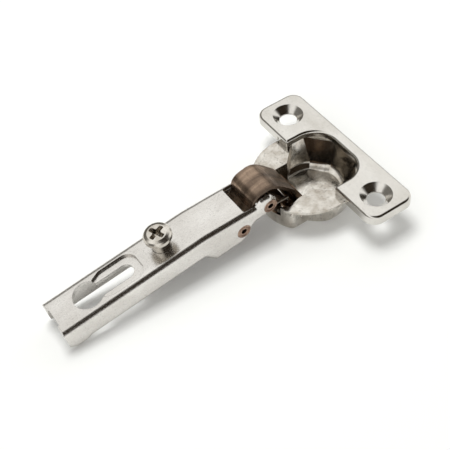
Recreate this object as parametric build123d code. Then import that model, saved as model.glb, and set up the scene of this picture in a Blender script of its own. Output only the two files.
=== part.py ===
import math
import os

from build123d import *

# Concealed cup hinge, opened flat. Lengths are millimetres and +Z points out of the door.
# The origin is where the cup's axis meets the door face, and +X runs from the arm's tail
# towards the cup. The rim of the flange stands on the plane z = 0.

# Drilling pattern of the door
screw_pitch = 45.0
screw_setback = 9.5
cup_diameter = 34.4
cup_depth = 10.0

# Flange plate, a drawn tray
flange_length = 61.0
flange_near_x = 1.6
flange_far_x = 18.5
flange_height = 3.2
flange_corner = 4.0
flange_edge = 0.9
flange_sheet = 1.0
countersink_radius = 5.05
screw_hole_radius = 2.9
nick_y = 17.2
nick_width = 0.6
nick_height = 1.9

# Opening of the flange over the cup
mouth_half = 12.4
mouth_end = 14.6
mouth_corner = 8.0
collar_depth = 2.2

# Cup pot, a die casting: a round bowl, a slanted throat and a pocket towards the arm
rim_top = 0.3
rim_sheet = 0.8
rim_relief = 0.9
bowl_top_radius = 16.2
bowl_floor_radius = 10.4
bowl_floor_x = 2.8
bowl_bend = 3.0
bowl_wall = 0.9
drum_foot_radius = 13.8
drum_bend = 4.0
facet_start = 21.0
facet_end = 57.0
throat_reach = 9.5
throat_wall = 4.2
ear_gap_half = 7.1
ear_tip_half = 8.5
pocket_front = 16.0
pocket_half = 9.9
pocket_wall = 0.9
pocket_bend = 2.0
pocket_corner = 2.4
bridge_seat = 0.9
front_wall_top = -4.3

# Pivots in the plane y = 0, as (x, z)
rear_pivot = (-28.86, -0.60)
front_pivot = (-18.75, 3.90)
outer_cup_pivot = (-8.80, -4.80)
inner_cup_pivot = (-12.30, -2.10)
cup_pin_radius = 1.15
rivet_radius = 1.6
rivet_head_radius = 2.35
rivet_bore_radius = 0.95
running_gap = 0.06

# Arm, a folded channel, drawn flat in its own frame and then tilted nose up
arm_tail = (-90.77, -1.23)
arm_pitch = 7.76
arm_half = 7.35
arm_sheet = 1.2
arm_bend = 1.9
crank_x = 48.83
crank_angle = 5.84
web_end = 67.4
notch_start = 63.6
notch_half = 6.0
keyhole_x = 12.07
keyhole_radius = 4.78
slot_half = 2.6
slot_end = 24.92
recess_depth = 0.9
screw_x = 38.08

# Links
link_sheet = 1.1
outer_link_half = 5.75
inner_link_half = 3.7
knuckle_inner = 3.95
outer_eye_radius = 2.25
inner_eye_radius = 1.98
slot_travel = 1.2
slot_gap = 0.2

# Closing spring
wire_radius = 0.42
coil_radius = 2.2
coil_start = 4.45
coil_end = 5.6
coil_turns = 1.0
coil_bends = 7
coil_leave = -92
bridge_reach = 2.6
wire_bend = 1.1
spring_leg_end = (-11.2, 1.45)

# Adjusting screw
adjuster_radius = 3.0
adjuster_head_radius = 4.36
adjuster_head_base = 4.1
adjuster_head_top = 6.5
adjuster_foot_depth = 6.6
foot_neck_radius = 1.7
foot_disc_radius = 2.7
recess_span = 5.3
recess_arm = 1.5
recess_deep = 2.2
recess_taper = 12
recess_turn = 20


def mirrored_face(points, radii):
    """Face whose upper half follows the points, rounded by the radii, mirrored in y."""
    upper = FilletPolyline(*points, radius=radii)
    lower = mirror(upper, about=Plane.XZ)
    edges = upper.edges() + lower.edges()
    last_x, last_y = points[-1]
    if last_y > 0:
        edges.append(Edge.make_line((last_x, last_y), (last_x, -last_y)))
    return make_face(edges)


def side_prism(face, half_width):
    """Prism of a face drawn as (x, z), centred on the plane y = 0."""
    return extrude(Plane.XZ * face, amount=half_width, both=True)


def side_cylinder(centre, radius, half_width):
    x, z = centre
    return side_prism(Pos(x, z) * Circle(radius), half_width)


def upright_block(low, high):
    size = [b - a for a, b in zip(low, high)]
    return Pos(*low) * Box(*size, align=(Align.MIN, Align.MIN, Align.MIN))


def sheet_face(points, tangents, thickness):
    """Side view of a bent sheet whose outer skin is a spline through the points."""
    skin = Spline(*points, tangents=tangents)
    steps = 14
    inner_points = []
    for i in range(steps + 1):
        place = skin.position_at(i / steps)
        slope = skin.tangent_at(i / steps)
        inner_points.append((place.X + slope.Y * thickness, place.Y - slope.X * thickness))
    inside = Spline(*inner_points)
    start_cap = Line(inner_points[0], points[0])
    end_cap = Line(points[-1], inner_points[-1])
    return make_face([skin.edge(), end_cap.edge(), inside.edge(), start_cap.edge()])


def flange_mouth(grow):
    """Plan of the flange's opening, wider by grow and open towards the arm."""
    half = mouth_half + grow
    end = mouth_end + grow
    return mirrored_face([(end, 0), (end, half), (-4, half)], [mouth_corner + grow])


def make_flange_plate():
    width = flange_far_x - flange_near_x
    middle = (flange_far_x + flange_near_x) / 2
    blank = extrude(Pos(middle, 0) * RectangleRounded(width, flange_length, flange_corner), flange_height)
    blank -= extrude(flange_mouth(0), flange_height)
    wing_corners = blank.edges().filter_by(Axis.Z).filter_by(lambda e: is_wing_corner(e))
    blank = fillet(wing_corners, 0.5)
    blank = fillet(blank.faces().sort_by(Axis.Z)[-1].edges(), flange_edge)
    hollow = extrude(
        Pos(middle, 0)
        * RectangleRounded(
            width - 2 * flange_sheet, flange_length - 2 * flange_sheet, flange_corner - flange_sheet
        ),
        flange_height - flange_sheet,
    )
    hollow -= extrude(flange_mouth(flange_sheet), flange_height)
    hollow += extrude(flange_mouth(flange_sheet), flange_height - collar_depth)
    hollow &= extrude(Pos(middle, 0) * Rectangle(width - 2 * flange_sheet, flange_length), flange_height)
    for side in (-1, 1):
        hollow -= Pos(screw_setback, side * screw_pitch / 2) * dimple_wall()
    plate = blank - hollow
    for side in (-1, 1):
        plate -= Pos(screw_setback, side * screw_pitch / 2) * dimple_hole()
    plate -= Cylinder(cup_diameter / 2 + rim_relief, 2 * rim_top + 0.1)
    for side in (-1, 1):
        nick = Pos(flange_near_x, side * nick_y, nick_height / 2) * Box(2.6, nick_width, nick_height)
        plate -= nick
    return plate


def is_wing_corner(edge):
    middle = edge.center()
    return abs(middle.X - flange_near_x) < 0.01 and abs(middle.Y) < mouth_half + 0.01


def dimple_wall():
    """Pressed-down collar round a screw hole."""
    drop = countersink_radius - screw_hole_radius
    foot = flange_height - drop
    cone = Pos(0, 0, foot - 0.4) * Cone(
        screw_hole_radius + flange_sheet * 0.8,
        countersink_radius + flange_sheet * 0.8,
        drop,
        align=(Align.CENTER, Align.CENTER, Align.MIN),
    )
    return cone


def dimple_hole():
    drop = countersink_radius - screw_hole_radius
    cone = Pos(0, 0, flange_height - drop) * Cone(
        screw_hole_radius, countersink_radius, drop, align=(Align.CENTER, Align.CENTER, Align.MIN)
    )
    return cone + Cylinder(screw_hole_radius, 4 * flange_height)


def throat_plan(half, reach):
    """Everything on the bowl's side of the two slanted walls, in plan."""
    span = cup_diameter
    points = [(span, 0), (span, span), (span - reach, span), (half - reach, half), (half - reach, 0)]
    return mirrored_face(points, [0.01, 0.01, 1.2])


def bowl_plan(radius):
    """Circle with a flat each side, between the two facet angles."""
    corners = [Vector(radius, 0).rotate(Axis.Z, a) for a in (facet_start, facet_end)]
    low_corners = [Vector(c.X, -c.Y) for c in corners]
    rear = ThreePointArc(low_corners[0], (radius, 0), corners[0])
    front = ThreePointArc(corners[1], (-radius, 0), low_corners[1])
    flats = [Line(corners[0], corners[1]), Line(low_corners[1], low_corners[0])]
    return make_face([rear.edge(), flats[0].edge(), front.edge(), flats[1].edge()])


def make_bowl():
    """Room of the round part: drafted wall with two flats, cut off by the slanted throat."""
    floor_z = bowl_wall - cup_depth
    top = Pos(0, 0, rim_top) * bowl_plan(bowl_top_radius)
    floor = Pos(bowl_floor_x, 0, floor_z) * bowl_plan(bowl_floor_radius)
    room = loft([top, floor], ruled=True)
    room = fillet(room.faces().sort_by(Axis.Z)[0].edges(), bowl_bend)
    return room & extrude(Pos(0, 0, floor_z) * throat_plan(ear_gap_half, throat_reach), cup_depth)


def make_drum(top_z):
    """Outside of the round part, tapered to its foot."""
    drum = Pos(0, 0, -cup_depth) * Cone(
        drum_foot_radius,
        bowl_top_radius + bowl_wall,
        top_z + cup_depth,
        align=(Align.CENTER, Align.CENTER, Align.MIN),
    )
    drum = fillet(drum.edges().sort_by(Axis.Z)[0], drum_bend)
    reach = throat_reach + throat_wall * math.sqrt(2)
    return drum & extrude(Pos(0, 0, -cup_depth) * throat_plan(ear_gap_half, reach), cup_depth + 1)


def pocket_plan(half, front):
    """Front of the pot in plan: straight sides and an arc towards the arm."""
    corner_x = -math.sqrt(front**2 - half**2)
    sides = Polyline((corner_x, half), (2.0, half), (2.0, -half), (corner_x, -half))
    nose = ThreePointArc((corner_x, -half), (-front, 0), (corner_x, half))
    plan = make_face(sides.edges() + nose.edges())
    corners = plan.vertices().filter_by(lambda v: abs(v.X - corner_x) < 1e-4)
    return fillet(corners, pocket_corner)


def make_pocket(half, front, floor_z, top_z):
    pocket = extrude(Pos(0, 0, floor_z) * pocket_plan(half, front), top_z - floor_z)
    return fillet(pocket.faces().sort_by(Axis.Z)[0].edges(), pocket_bend)


def ear_gap():
    """Plan of the gap between the ears, flared towards the arm."""
    points = [(-1.0, 0), (-1.0, ear_gap_half), (-8.0, ear_gap_half), (-12.4, 8.3), (-21.0, ear_tip_half)]
    return mirrored_face(points, [0.01, 5.0, 3.0])


def bridge_recess():
    """Shallow seat for the pin's bridge, in the outside of the far wall."""
    outer = Vector(outer_cup_pivot[0], outer_cup_pivot[1])
    span = Vector(inner_cup_pivot[0], inner_cup_pivot[1]) - outer
    middle = outer + span * 0.5
    turn = math.degrees(math.atan2(span.Y, span.X))
    seat = Pos(middle.X, middle.Y) * Rot(0, 0, turn)
    seat *= SlotCenterToCenter(span.length, 2 * cup_pin_radius + 0.3)
    depth = 2.0
    return Pos(0, pocket_half - bridge_seat + depth, 0) * side_prism(seat, depth)


def make_cup_pot():
    rim_foot = rim_top - rim_sheet
    inner_floor = bowl_wall - cup_depth
    rim = Pos(0, 0, rim_foot) * Cylinder(
        cup_diameter / 2, rim_sheet, align=(Align.CENTER, Align.CENTER, Align.MIN)
    )
    pot = rim + make_drum(rim_foot + 0.1)
    pot += make_pocket(pocket_half, pocket_front, -cup_depth, rim_foot + 0.1)
    pot -= make_bowl()
    pot -= make_pocket(ear_gap_half, pocket_front - pocket_wall, inner_floor, rim_top + 0.1)
    pot -= extrude(Pos(0, 0, rim_foot - 0.3) * ear_gap(), rim_sheet + 1)
    pot -= upright_block((-20, -ear_gap_half + 0.8, front_wall_top), (-9, ear_gap_half - 0.8, 2))
    for pivot in (outer_cup_pivot, inner_cup_pivot):
        pot -= side_cylinder(pivot, cup_pin_radius + 0.02, 12)
    return pot - bridge_recess()


def make_cup_pin():
    """U-shaped pin: two straight legs and a round bridge behind the far wall."""
    outer = Vector(outer_cup_pivot[0], 0, outer_cup_pivot[1])
    inner = Vector(inner_cup_pivot[0], 0, inner_cup_pivot[1])
    near_end = Vector(0, -pocket_half - 0.45, 0)
    turn = Vector(0, pocket_half - bridge_seat + 0.05, 0)
    bend = (inner - outer).length / 2
    top = (outer + inner) * 0.5 + turn + Vector(0, bend, 0)
    path = (
        Line(outer + near_end, outer + turn)
        + ThreePointArc(outer + turn, top, inner + turn)
        + Line(inner + turn, inner + near_end)
    )
    start = Plane(origin=outer + near_end, z_dir=(0, 1, 0))
    pin = sweep(start * Circle(cup_pin_radius), path=path)
    ends = pin.faces().filter_by(Plane.XZ).edges()
    return fillet(ends, 0.35)


def make_outer_link():
    """Broad curved link: its rear leg leaves the arm's notch, its front curls down to the cup."""
    skin = [
        (rear_pivot[0] + 1.9, rear_pivot[1] + 1.2),
        (-25.1, 3.0),
        (-24.4, 5.0),
        (-24.0, 7.2),
        (-22.5, 8.95),
        (-20.2, 9.7),
        (-17.4, 10.0),
        (-14.8, 8.85),
        (-12.15, 6.6),
        (-9.6, 4.0),
        (-7.4, 1.0),
        (-6.35, -1.6),
        (-6.2, -4.4),
    ]
    body = side_prism(sheet_face(skin, [(0.45, 1.0), (-0.1, -1.0)], link_sheet), outer_link_half)
    rear_eye = side_cylinder(rear_pivot, rivet_radius + link_sheet, outer_link_half)
    front_eye = side_cylinder(outer_cup_pivot, outer_eye_radius, outer_link_half)
    link = body + rear_eye + front_eye
    link -= side_cylinder(rear_pivot, rivet_radius + running_gap, 20)
    link -= side_cylinder(outer_cup_pivot, cup_pin_radius + running_gap, 20)
    x, z = outer_cup_pivot
    link -= upright_block((x - 4, -knuckle_inner, z - 3), (x + 1.35, knuckle_inner, z + 4.5))
    return link


def make_inner_link():
    """Narrow link with a round arm eye and a slotted cup eye."""
    back = Vector(front_pivot[0], front_pivot[1])
    front = Vector(inner_cup_pivot[0], inner_cup_pivot[1])
    along = (front - back).normalized()
    up = Vector(-along.Y, along.X)
    back_radius = rivet_radius + 0.9
    web = make_face(
        Polyline(
            back + up * back_radius,
            front + up * inner_eye_radius,
            front + up * (inner_eye_radius - 1.4),
            back + up * (back_radius - 1.4),
            close=True,
        ).edges()
    )
    slot_back = inner_cup_pivot[0] - slot_travel
    eye = side_cylinder(inner_cup_pivot, inner_eye_radius, inner_link_half)
    eye += side_cylinder((slot_back, inner_cup_pivot[1]), inner_eye_radius, inner_link_half)
    eye += side_prism(
        Pos((slot_back + inner_cup_pivot[0]) / 2, inner_cup_pivot[1])
        * Rectangle(slot_travel, 2 * inner_eye_radius),
        inner_link_half,
    )
    link = side_prism(web, inner_link_half) + side_cylinder(front_pivot, back_radius, inner_link_half) + eye
    link -= side_cylinder(front_pivot, rivet_radius + running_gap, 20)
    slot_radius = cup_pin_radius + slot_gap
    slot = Pos((slot_back + inner_cup_pivot[0]) / 2, inner_cup_pivot[1]) * Rectangle(
        slot_travel, 2 * slot_radius
    )
    for x in (slot_back, inner_cup_pivot[0]):
        link -= side_cylinder((x, inner_cup_pivot[1]), slot_radius, 20)
    return link - side_prism(slot, 20)


def make_rivet(pivot):
    """Hollow rivet with rolled ends that lie flush in the cheeks."""
    reach = arm_half - 0.05
    flare = rivet_head_radius - rivet_radius
    lip = [
        (rivet_bore_radius, reach),
        (rivet_bore_radius + 0.5, reach),
        (rivet_bore_radius + 0.6, reach - 0.2),
        (rivet_head_radius - 0.5, reach - 0.2),
        (rivet_head_radius - 0.4, reach),
        (rivet_head_radius, reach),
        (rivet_head_radius, reach - 0.3),
        (rivet_radius, reach - 0.3 - flare * 0.7),
    ]
    far_lip = [(radius, -y) for radius, y in lip[::-1]]
    profile = Polyline(*lip, *far_lip, close=True)
    tube = revolve(make_face(profile.edges()), Axis.Y)
    return Pos(pivot[0], 0, pivot[1]) * tube


def rivet_hole(pivot):
    """Countersunk hole through both cheeks, a little larger than the rivet."""
    gap = 0.05
    seat = arm_half + 0.5
    flare = rivet_head_radius - rivet_radius
    head = arm_half - 0.05 - 0.3
    profile = Polyline(
        (0, -seat),
        (rivet_head_radius + gap, -seat),
        (rivet_head_radius + gap, -head + gap),
        (rivet_radius + gap, -head + gap + flare * 0.7),
        (rivet_radius + gap, head - gap - flare * 0.7),
        (rivet_head_radius + gap, head - gap),
        (rivet_head_radius + gap, seat),
        (0, seat),
        close=True,
    )
    return Pos(pivot[0], 0, pivot[1]) * revolve(make_face(profile.edges()), Axis.Y)


def arm_place():
    """Placement of the flat arm frame: tail corner of the web, tilted nose up."""
    return Pos(arm_tail[0], 0, arm_tail[1]) * Rot(0, -arm_pitch, 0)


def web_height(x):
    """Height of the web's upper face in the arm frame, which falls away after the crank."""
    return -max(0.0, x - crank_x) * math.tan(math.radians(crank_angle))


def arm_side_face():
    """Side view of a cheek in the arm frame."""
    nose_top = web_height(web_end)
    points = [
        (0, 0),
        (crank_x, 0),
        (web_end, nose_top),
        (69.2, -0.55),
        (70.9, -0.2),
        (73.3, -0.75),
        (75.1, -3.4),
        (75.1, -6.2),
        (73.6, -7.74),
        (66.3, -7.84),
        (64.2, -9.4),
        (63.2, -11.6),
        (60.2, -12.75),
        (50.2, -12.75),
        (46.9, -8.5),
        (7.0, -8.3),
        (5.4, -9.09),
        (1.4, -9.09),
        (-0.3, -7.8),
        (-0.3, -1.0),
    ]
    radii = [20, 0.4, 1.0, 1.6, 2.0, 1.6, 1.2, 1.2, 2.0, 1.6, 1.6, 2.5, 2.0, 0.8, 0.8, 1.0, 1.0]
    outline = Polyline(*points, close=True)
    face = make_face(outline.edges())
    for point, radius in zip(points[1:-2], radii):
        corner = face.vertices().filter_by(
            lambda v: abs(v.X - point[0]) < 1e-4 and abs(v.Y - point[1]) < 1e-4
        )
        face = fillet(corner, radius)
    return face


def channel_core():
    """Space inside the folded channel, open below and at both ends."""
    top = -arm_sheet
    points = [
        (-5, top),
        (crank_x, top),
        (80, top + web_height(80)),
        (80, -20),
        (-5, -20),
    ]
    core = side_prism(make_face(Polyline(*points, close=True).edges()), arm_half - arm_sheet)
    roof = core.faces().filter_by(lambda f: f.normal_at().Z > 0.9)
    folds = roof.edges().filter_by(lambda e: e.bounding_box().size.Y < 0.01)
    return fillet(folds, arm_bend - arm_sheet)


def keyhole(grow):
    """Plan of the keyhole: a round entry and a slot towards the nose."""
    entry = Pos(keyhole_x, 0) * Circle(keyhole_radius + grow)
    end = Pos(slot_end, 0) * Circle(slot_half + grow)
    slot = Pos((keyhole_x + slot_end) / 2, 0) * Rectangle(slot_end - keyhole_x, 2 * (slot_half + grow))
    return entry + end + slot


def recess_plan(shrink):
    points = [
        (29.9 - shrink, 0),
        (29.9 - shrink, 5.15 - shrink),
        (18.4, 5.15 - shrink),
        (15.2, 3.7 - shrink),
        (15.2, 0),
    ]
    return mirrored_face(points, [3.6, 2.0, 0.6])


def make_hinge_arm():
    arm = side_prism(arm_side_face(), arm_half)
    ridge = arm.edges().filter_by(lambda e: is_ridge(e))
    arm = fillet(ridge, arm_bend)
    arm -= channel_core()
    nose_cut = (web_end, -arm_half + arm_sheet, -9), (80, arm_half - arm_sheet, 4)
    arm -= upright_block(*nose_cut)
    notch = Pos((notch_start + 80) / 2, 0) * RectangleRounded(80 - notch_start, 2 * notch_half, 0.8)
    arm -= extrude(Pos(0, 0, -5) * notch, 8)
    pan = extrude(Pos(0, 0, -recess_depth - arm_sheet * 0.9) * recess_plan(-0.5), arm_sheet)
    arm += pan
    arm -= extrude(Pos(0, 0, -recess_depth) * recess_plan(0), 3)
    arm -= extrude(Pos(0, 0, -6) * keyhole(0), 12)
    arm -= Pos(screw_x, 0) * Cylinder(adjuster_radius + 0.08, 8)
    arm -= Pos(-0.5, 0) * Box(1.9, 6.6, 6)
    arm = arm_place() * arm
    for pivot in (rear_pivot, front_pivot):
        arm -= rivet_hole(pivot)
    return arm


def is_ridge(edge):
    box = edge.bounding_box()
    along = box.max.X - box.min.X > 8
    top = box.max.Z > -2.3 and box.min.Z > -2.3
    return along and top and box.max.Y - box.min.Y < 0.01


def cross_recess(top_z):
    """Tapered cross that is cut into a screw head from the top."""
    bars = RectangleRounded(recess_span, recess_arm, 0.3)
    cross = Sketch() + bars + Rot(0, 0, 90) * bars + Circle(recess_arm * 0.85)
    return extrude(Pos(0, 0, top_z) * cross, -recess_deep, taper=recess_taper)


def make_adjusting_screw():
    """Pan-head screw with a cross recess, a stout shank and a grooved foot."""
    base = adjuster_head_base
    top = adjuster_head_top
    foot = -adjuster_foot_depth
    profile = Polyline(
        (0, top),
        (3.0, top - 0.1),
        (3.9, top - 0.4),
        (adjuster_head_radius, top - 1.0),
        (adjuster_head_radius, base + 0.3),
        (adjuster_head_radius - 0.3, base),
        (adjuster_radius, base),
        (adjuster_radius, foot + 2.6),
        (adjuster_radius - 0.5, foot + 2.1),
        (foot_neck_radius, foot + 2.1),
        (foot_neck_radius, foot + 0.9),
        (foot_disc_radius, foot + 0.9),
        (foot_disc_radius, foot + 0.2),
        (foot_disc_radius - 0.2, foot),
        (0, foot),
        close=True,
    )
    screw = revolve(make_face((Plane.XZ * profile).edges()), Axis.Z)
    screw -= Rot(0, 0, recess_turn) * cross_recess(top)
    return arm_place() * Pos(screw_x, 0, 0) * screw


def coil_point(radius, angle, y):
    x = front_pivot[0] + radius * math.cos(math.radians(angle))
    z = front_pivot[1] + radius * math.sin(math.radians(angle))
    return Vector(x, y, z)


def coil_corners(side):
    """Corners of the polygon round one coil, from the bridge side outwards."""
    first = side * coil_start
    last = side * coil_end
    sweep_angle = 360 * coil_turns
    corner_radius = coil_radius / math.cos(math.radians(sweep_angle / coil_bends / 2))
    points = []
    for i in range(coil_bends):
        share = (i + 0.5) / coil_bends
        angle = coil_leave - sweep_angle * (1 - share)
        points.append(coil_point(corner_radius, angle, first + (last - first) * share))
    return points


def half_spring_corners(side):
    """Bridge corner, coil and leg end of one half of the hairpin spring."""
    coil_entry = coil_point(coil_radius, coil_leave - 360 * coil_turns, side * coil_start)
    bridge_end = coil_entry - Vector(bridge_reach, 0, 0)
    leg_end = Vector(spring_leg_end[0], side * coil_end, spring_leg_end[1])
    return [bridge_end] + coil_corners(side) + [leg_end]


def make_closing_spring():
    """Hairpin spring: a coil each side of the inner link, joined by a bridge over its eye."""
    left = half_spring_corners(-1)
    right = half_spring_corners(1)
    path = FilletPolyline(*left[::-1], *right, radius=wire_bend)
    start = Plane(origin=path @ 0, z_dir=path % 0)
    return sweep(start * Circle(wire_radius), path=path)


def save(name, shape):
    shape.label = name
    export_step(shape, f"parts/{name}.step")
    print(name, round(shape.volume, 1), "mm3")


os.makedirs("parts", exist_ok=True)
save("flange_plate", make_flange_plate())
save("cup_pot", make_cup_pot())
save("cup_pin", make_cup_pin())
save("outer_link", make_outer_link())
save("inner_link", make_inner_link())
save("hinge_arm", make_hinge_arm())
save("rear_arm_rivet", make_rivet(rear_pivot))
save("front_arm_rivet", make_rivet(front_pivot))
save("adjusting_screw", make_adjusting_screw())
save("closing_spring", make_closing_spring())
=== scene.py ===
import bpy
from mathutils import Matrix, Vector


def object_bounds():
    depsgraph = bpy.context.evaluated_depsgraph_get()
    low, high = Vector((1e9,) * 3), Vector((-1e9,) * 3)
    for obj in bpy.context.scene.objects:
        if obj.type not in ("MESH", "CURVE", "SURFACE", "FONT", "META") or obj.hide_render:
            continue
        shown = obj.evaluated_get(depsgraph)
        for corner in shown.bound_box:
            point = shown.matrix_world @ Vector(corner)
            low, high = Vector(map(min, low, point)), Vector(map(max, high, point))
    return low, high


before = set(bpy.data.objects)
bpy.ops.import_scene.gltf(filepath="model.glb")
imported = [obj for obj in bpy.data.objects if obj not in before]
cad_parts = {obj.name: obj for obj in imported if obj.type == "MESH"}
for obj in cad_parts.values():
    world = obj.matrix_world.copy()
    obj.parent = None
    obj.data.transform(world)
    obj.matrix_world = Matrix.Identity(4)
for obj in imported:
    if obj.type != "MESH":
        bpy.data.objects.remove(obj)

cadLow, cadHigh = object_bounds()  # the CAD box, kept before anything is added
print("frame loaded:", len(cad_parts), "nodes")

mm = 0.001
evenStretch = (1.0, 1.0, 1.0)
plainWhite = (1.0, 1.0, 1.0, 1.0)


def linearColour(hexText):
    parts = [int(hexText[i:i + 2], 16) / 255 for i in (1, 3, 5)]
    linear = [p / 12.92 if p <= 0.04045 else ((p + 0.055) / 1.055) ** 2.4 for p in parts]
    return (*linear, 1.0)


def addNode(tree, kind, settings=(), links=()):
    # settings and links are (socket or property, value) pairs
    node = tree.nodes.new(kind)
    for name, value in settings:
        if isinstance(name, str) and hasattr(node, name):
            setattr(node, name, value)
        else:
            node.inputs[name].default_value = value
    for name, source in links:
        tree.links.new(source, node.inputs[name])
    return node


def addNoise(tree, coords, sizeMm, stretch, detail, roughness):
    # features of a real size, drawn out along the axes whose stretch is below 1
    drawn = addNode(tree, "ShaderNodeMapping", [("Scale", stretch)], [("Vector", coords)])
    noise = addNode(tree, "ShaderNodeTexNoise",
                    [("Scale", 1.0 / (sizeMm * mm)), ("Detail", detail), ("Roughness", roughness)],
                    [("Vector", drawn.outputs["Vector"])])
    return noise.outputs["Fac"]


def addRamp(tree, source, stops):
    # stops are (place, colour) pairs from low to high
    ramp = addNode(tree, "ShaderNodeValToRGB", (), [("Fac", source)])
    points = ramp.color_ramp.elements
    points[0].position, points[0].color = stops[0]
    points[1].position, points[1].color = stops[-1]
    for place, colour in stops[1:-1]:
        points.new(place).color = colour
    return ramp.outputs["Color"]


def newMaterial(name):
    material = bpy.data.materials.new(name)
    material.use_nodes = True
    material.node_tree.nodes.clear()
    return material, material.node_tree


def dress(nodeName, material):
    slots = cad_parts[nodeName].data.materials
    slots.clear()
    slots.append(material)


metalRelief = {
    "toneBand": (0.32, 0.68),   # part of the mottle noise that runs from dull to bright
    "pitBand": (0.30, 0.44),    # only the lowest part of the pit noise darkens
    "glossBand": (0.3, 0.7),
    "waveDepthMm": 0.1, "grainDepthMm": 0.02,
    "bevelSamples": 4,
}


def makeMetal(look):
    # Slow waves bend the mirror, a finer drawn grain spreads it, specks mark pits in the skin.
    material, tree = newMaterial(look["name"])
    coords = addNode(tree, "ShaderNodeTexCoord").outputs["Object"]
    grain = addNoise(tree, coords, look["grainMm"], look["grainStretch"],
                     detail=3.0, roughness=0.6)
    mottle = addNoise(tree, coords, look["mottleMm"], look["mottleStretch"],
                      detail=4.0, roughness=0.55)
    pits = addNoise(tree, coords, look["pitMm"], evenStretch, detail=2.0, roughness=0.5)
    toneLow, toneHigh = metalRelief["toneBand"]
    tone = addRamp(tree, mottle, [(toneLow, linearColour(look["dull"])),
                                  (toneHigh, linearColour(look["bright"]))])
    pitLow, pitHigh = metalRelief["pitBand"]
    pitGrey = (look["pitTone"],) * 3 + (1.0,)
    speck = addRamp(tree, pits, [(pitLow, pitGrey), (pitHigh, plainWhite)])
    colour = addNode(tree, "ShaderNodeMix",
                     [("data_type", "RGBA"), ("blend_type", "MULTIPLY"), (0, 1.0)],
                     [(6, tone), (7, speck)])
    glossLow, glossHigh = metalRelief["glossBand"]
    smooth, rough = look["roughness"]
    gloss = addNode(tree, "ShaderNodeMapRange",
                    [("From Min", glossLow), ("From Max", glossHigh),
                     ("To Min", smooth), ("To Max", rough)],
                    [("Value", grain)])
    edge = addNode(tree, "ShaderNodeBevel",
                   [("samples", metalRelief["bevelSamples"]), ("Radius", look["edgeMm"] * mm)])
    waves = addNode(tree, "ShaderNodeBump",
                    [("Strength", look["waveStrength"]),
                     ("Distance", metalRelief["waveDepthMm"] * mm)],
                    [("Height", mottle), ("Normal", edge.outputs["Normal"])])
    relief = addNode(tree, "ShaderNodeBump",
                     [("Strength", look["grainStrength"]),
                      ("Distance", metalRelief["grainDepthMm"] * mm)],
                     [("Height", grain), ("Normal", waves.outputs["Normal"])])
    shader = addNode(tree, "ShaderNodeBsdfPrincipled", [("Metallic", 1.0)],
                     [("Base Color", colour.outputs[2]), ("Roughness", gloss.outputs["Result"]),
                      ("Normal", relief.outputs["Normal"])])
    addNode(tree, "ShaderNodeOutputMaterial", (), [("Surface", shader.outputs["BSDF"])])
    return material


# Hinge arm
armPlating = {  # barrel-plated strip: satin sheen, rolled grain along the arm, fine pits
    "name": "nickel_plated_steel_arm_satin",
    "bright": "#e1deda", "dull": "#cfcbc6", "pitTone": 0.84,
    "grainMm": 0.35, "grainStretch": (0.35, 1.0, 1.0), "grainStrength": 0.35,
    "mottleMm": 7.0, "mottleStretch": (0.5, 1.0, 1.0), "waveStrength": 0.25, "pitMm": 0.5,
    "roughness": (0.20, 0.30), "edgeMm": 0.15,
}
dress("hinge_arm", makeMetal(armPlating))

# Flange plate
flangePlating = {  # polished before plating: the brightest skin, slow soft waves in it
    "name": "nickel_plated_steel_flange_bright",
    "bright": "#d9d6d1", "dull": "#c8c4bd", "pitTone": 0.93,
    "grainMm": 0.3, "grainStretch": (1.0, 0.3, 1.0), "grainStrength": 0.22,
    "mottleMm": 9.0, "mottleStretch": (1.0, 0.6, 1.0), "waveStrength": 0.3, "pitMm": 0.6,
    "roughness": (0.13, 0.22), "edgeMm": 0.12,
}
dress("flange_plate", makeMetal(flangePlating))

# Cup
cupPlating = {  # die-cast zinc under nickel: a rippled mirror with cast pinholes
    "name": "nickel_plated_zinc_cup_die_cast",
    "bright": "#dcd8d1", "dull": "#aca499", "pitTone": 0.74,
    "grainMm": 0.5, "grainStretch": (1.0, 1.0, 0.18), "grainStrength": 0.4,
    "mottleMm": 4.0, "mottleStretch": (1.0, 1.0, 0.35), "waveStrength": 0.4, "pitMm": 0.8,
    "roughness": (0.10, 0.20), "edgeMm": 0.12,
}
dress("cup_pot", makeMetal(cupPlating))

# Cup pin and adjusting screw
screwPlating = {  # cold-headed and plated: crisp bright rims, a faint haze
    "name": "nickel_plated_steel_screw",
    "bright": "#d8d3cb", "dull": "#b5aea4", "pitTone": 0.82,
    "grainMm": 0.25, "grainStretch": evenStretch, "grainStrength": 0.25,
    "mottleMm": 3.0, "mottleStretch": evenStretch, "waveStrength": 0.2, "pitMm": 0.4,
    "roughness": (0.12, 0.20), "edgeMm": 0.1,
}
pinPlating = screwPlating | {"name": "nickel_plated_steel_screw_bright"}  # the same wire and bath
dress("adjusting_screw", makeMetal(screwPlating))
dress("cup_pin", makeMetal(pinPlating))

# Links
linkSteel = {  # hardened strip with its temper tint: brown, streaked along the bend
    "name": "bronze_tinted_steel_link_hardened",
    "bright": "#bba28d", "dull": "#5f5146", "pitTone": 0.72,
    "grainMm": 0.4, "grainStretch": (1.0, 0.12, 1.0), "grainStrength": 0.5,
    "mottleMm": 5.0, "mottleStretch": (0.15, 1.6, 0.15), "waveStrength": 0.4, "pitMm": 0.5,
    "roughness": (0.24, 0.38), "edgeMm": 0.12,
}
linkMaterial = makeMetal(linkSteel)
dress("outer_link", linkMaterial)
dress("inner_link", linkMaterial)

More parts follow.
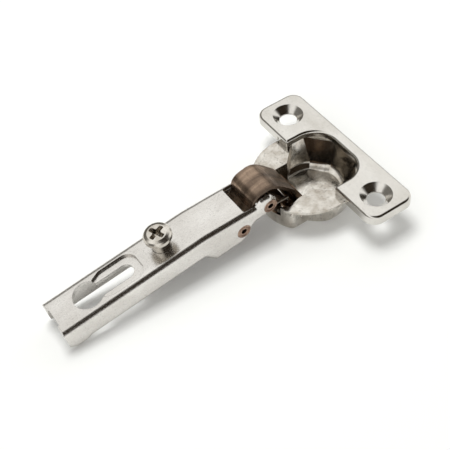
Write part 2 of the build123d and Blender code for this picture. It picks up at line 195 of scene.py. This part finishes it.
# Rivets
rivetCopper = {  # copper-washed wire peened over: warm dull rings, worn bright at the lip
    "name": "copper_washed_steel_rivet",
    "bright": "#b59a88", "dull": "#755f53", "pitTone": 0.7,
    "grainMm": 0.3, "grainStretch": evenStretch, "grainStrength": 0.4,
    "mottleMm": 1.5, "mottleStretch": evenStretch, "waveStrength": 0.3, "pitMm": 0.4,
    "roughness": (0.25, 0.4), "edgeMm": 0.1,
}
rivetMaterial = makeMetal(rivetCopper)
dress("rear_arm_rivet", rivetMaterial)
dress("front_arm_rivet", rivetMaterial)

# Closing spring
springSteel = {  # drawn wire: a plain grey line with drawing marks
    "name": "drawn_spring_steel_wire",
    "bright": "#b9b0a4", "dull": "#94897c", "pitTone": 0.8,
    "grainMm": 0.2, "grainStretch": evenStretch, "grainStrength": 0.3,
    "mottleMm": 1.5, "mottleStretch": evenStretch, "waveStrength": 0.1, "pitMm": 0.3,
    "roughness": (0.25, 0.35), "edgeMm": 0.05,
}
dress("closing_spring", makeMetal(springSteel))
print("metals done")

# Camera
cameraLook = {
    "place": (-0.123394, -0.171846, 0.221096),
    "right": (0.82782895, -0.55454259, -0.08474522),
    "up": (0.46711376, 0.59774552, 0.6515405),
    "lensMm": 77.34, "sensorMm": 36.0, "clipStart": 0.01,
}
cameraData = bpy.data.cameras.new("camera")
cameraData.lens = cameraLook["lensMm"]
cameraData.sensor_width = cameraLook["sensorMm"]
cameraData.clip_start = cameraLook["clipStart"]
camera = bpy.data.objects.new("camera", cameraData)
bpy.context.scene.collection.objects.link(camera)
rightAxis = Vector(cameraLook["right"]).normalized()
upAxis = Vector(cameraLook["up"]).normalized()
backAxis = rightAxis.cross(upAxis)
turn = Matrix((rightAxis, upAxis, backAxis)).transposed().to_4x4()
camera.matrix_world = Matrix.Translation(Vector(cameraLook["place"])) @ turn
bpy.context.scene.camera = camera

# Floor
floorLook = {"size": 4.0, "colour": "#f4f5f3", "glow": 0.10}
bpy.ops.object.select_all(action="DESELECT")
bpy.ops.mesh.primitive_plane_add(size=floorLook["size"], location=(0, 0, 0))
floor = bpy.context.object
floor.name = "studio_floor"
floor.data.transform(Matrix.Translation((0, 0, cadLow.z)))  # right under the lowest metal
floorMaterial, floorTree = newMaterial("matt_white_card")
path = addNode(floorTree, "ShaderNodeLightPath").outputs
seen = addNode(floorTree, "ShaderNodeMath", [("operation", "MAXIMUM")],
               [(0, path["Is Camera Ray"]), (1, path["Is Glossy Ray"])])
seenThrough = addNode(floorTree, "ShaderNodeMath", [("operation", "MAXIMUM")],
                      [(0, seen.outputs[0]), (1, path["Is Transmission Ray"])])
glow = addNode(floorTree, "ShaderNodeMath", [("operation", "MULTIPLY"), (1, floorLook["glow"])],
               [(0, seenThrough.outputs[0])])  # lifts the card where it is seen, lights nothing
card = addNode(floorTree, "ShaderNodeBsdfDiffuse", [("Color", linearColour(floorLook["colour"]))])
lift = addNode(floorTree, "ShaderNodeEmission", [("Color", plainWhite)],
               [("Strength", glow.outputs[0])])
both = addNode(floorTree, "ShaderNodeAddShader", (), [(0, card.outputs[0]), (1, lift.outputs[0])])
addNode(floorTree, "ShaderNodeOutputMaterial", (), [("Surface", both.outputs[0])])
floor.data.materials.append(floorMaterial)

# Room
roomLook = {
    "darkPatch": (0.25, -0.50, 0.83),  # where the dark part of the ceiling is
    "stops": [(0.12, "#74726e"), (0.28, "#f4f4f2"), (0.64, "#f4f4f2"), (0.80, "#2b241c")],
    "strength": 1.28,
}
world = bpy.data.worlds.new("studio_room")
bpy.context.scene.world = world
world.use_nodes = True
worldTree = world.node_tree
worldTree.nodes.clear()
roomCoords = addNode(worldTree, "ShaderNodeTexCoord").outputs["Generated"]
towardPatch = addNode(worldTree, "ShaderNodeVectorMath",
                      [("operation", "DOT_PRODUCT"), (1, roomLook["darkPatch"])],
                      [(0, roomCoords)])
walls = addRamp(worldTree, towardPatch.outputs["Value"],
                [(place, linearColour(hexText)) for place, hexText in roomLook["stops"]])
sky = addNode(worldTree, "ShaderNodeBackground", [("Strength", roomLook["strength"])],
              [("Color", walls)])
addNode(worldTree, "ShaderNodeOutputWorld", (), [("Surface", sky.outputs[0])])

# Lamp
lampLook = {
    "name": "softbox_back", "place": (-0.04, 0.15, 0.83), "size": 0.35, "power": 3.9,
    "target": (-0.0336, -0.0045, 0.0),
}
lampData = bpy.data.lights.new(lampLook["name"], "AREA")
lampData.shape = "SQUARE"
lampData.size = lampLook["size"]
lampData.energy = lampLook["power"]
lamp = bpy.data.objects.new(lampLook["name"], lampData)
lamp.location = lampLook["place"]
lamp.rotation_mode = "QUATERNION"
aim = Vector(lampLook["target"]) - Vector(lampLook["place"])
lamp.rotation_quaternion = aim.to_track_quat("-Z", "Y")
lamp.visible_glossy = False  # the metal mirrors the room, not the lamp itself
bpy.context.scene.collection.objects.link(lamp)
bpy.context.scene.view_settings.view_transform = "Standard"
print("camera, floor, room and lamp done")
